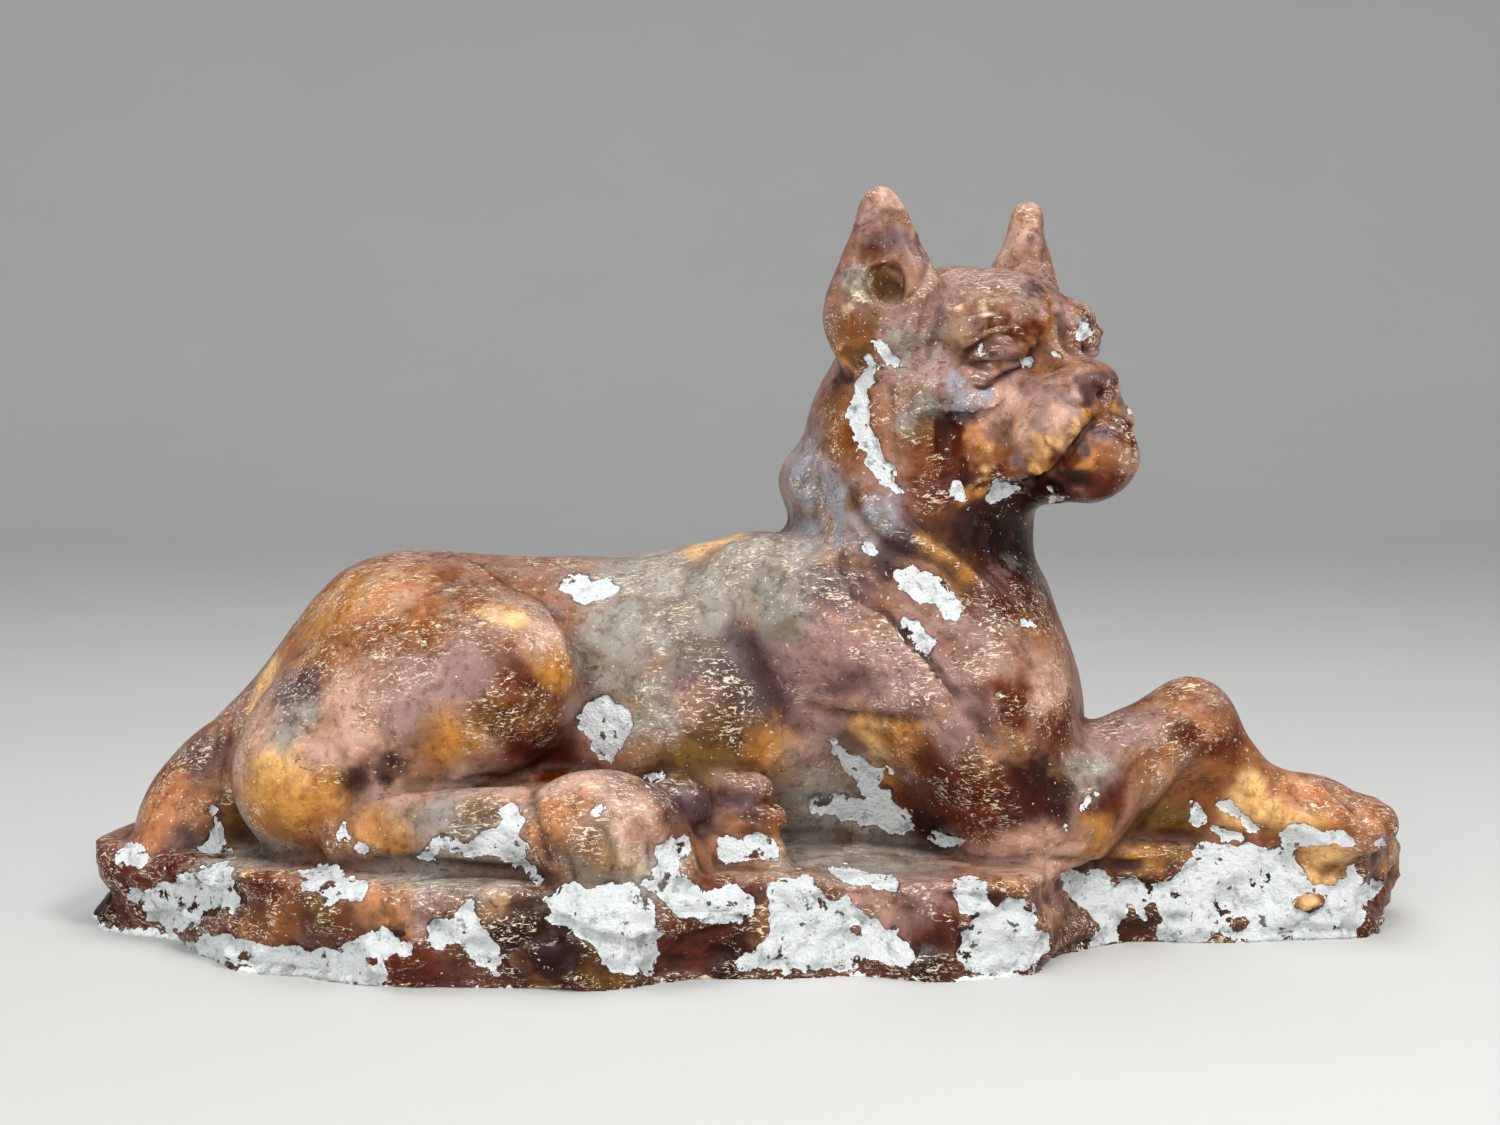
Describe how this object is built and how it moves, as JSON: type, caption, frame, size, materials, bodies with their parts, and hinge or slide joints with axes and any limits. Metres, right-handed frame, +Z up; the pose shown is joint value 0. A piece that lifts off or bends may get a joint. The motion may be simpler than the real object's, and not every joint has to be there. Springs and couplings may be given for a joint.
{
  "type": "plaster dog statue",
  "caption": "Painted plaster statue of a short-muzzled dog lying on a rock plinth, head turned to its right, for a garden, shelf or hall.",
  "frame": {"origin": "under the middle of the plinth, on its flat underside", "axes": "+Z up, +X along the plinth the way the dog's body faces, -Y the side its head turns to"},
  "size_m": [0.5171, 0.2095, 0.2834],
  "materials": {
    "painted_plaster": "aged brown oil paint over white plaster, half gloss, chipped to bare matte plaster"
  },
  "bodies": {
    "root": {"plaster_dog": "painted_plaster"}
  },
  "joints": []
}
